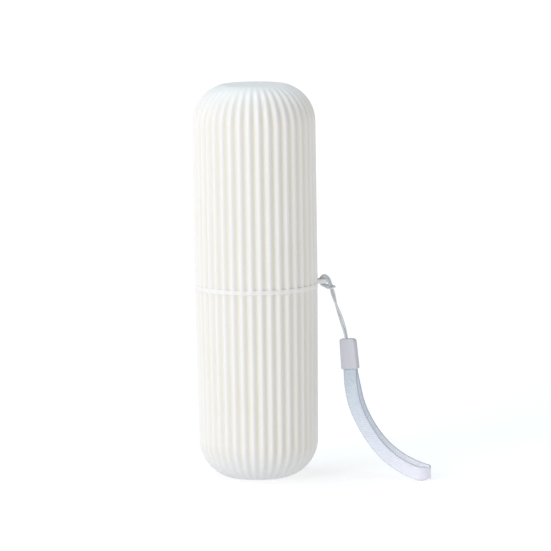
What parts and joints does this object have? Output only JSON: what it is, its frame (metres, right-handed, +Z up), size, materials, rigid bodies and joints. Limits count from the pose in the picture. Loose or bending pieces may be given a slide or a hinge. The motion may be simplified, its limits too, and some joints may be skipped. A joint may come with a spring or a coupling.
{
  "type": "toothbrush travel case",
  "caption": "Upright capsule case for a toothbrush: two ribbed plastic halves that push together, with a short wrist strap on a lug at the cover's rim.",
  "frame": {"origin": "centre of the flat base, on the surface that the case stands on", "axes": "+Z up along the case's axis, +X towards the lug and strap, -Y towards the picture's view"},
  "size_m": [0.1232, 0.065, 0.208],
  "materials": {
    "case_plastic": "satin moulded polypropylene, white",
    "cord": "twisted cord, white",
    "clip_plastic": "moulded plastic, pale grey",
    "webbing": "woven polyester tape, white"
  },
  "bodies": {
    "case_base": {"lower_cup": "case_plastic"},
    "cover": {"upper_cover": "case_plastic"},
    "strap": {"strap_cord": "cord", "ferrule_front": "clip_plastic", "ferrule_back": "clip_plastic", "wrist_webbing": "webbing"}
  },
  "joints": [
    {"name": "cover_lift", "type": "slide", "parent": "case_base", "child": "cover", "axis": [0, 0, 1], "range_m": [0, 0.05]},
    {"name": "strap_swing", "type": "hinge", "parent": "cover", "child": "strap", "pos_m": [0.0366, 0, 0.10325], "axis": [0, -1, 0], "range_deg": [0, 110]}
  ]
}
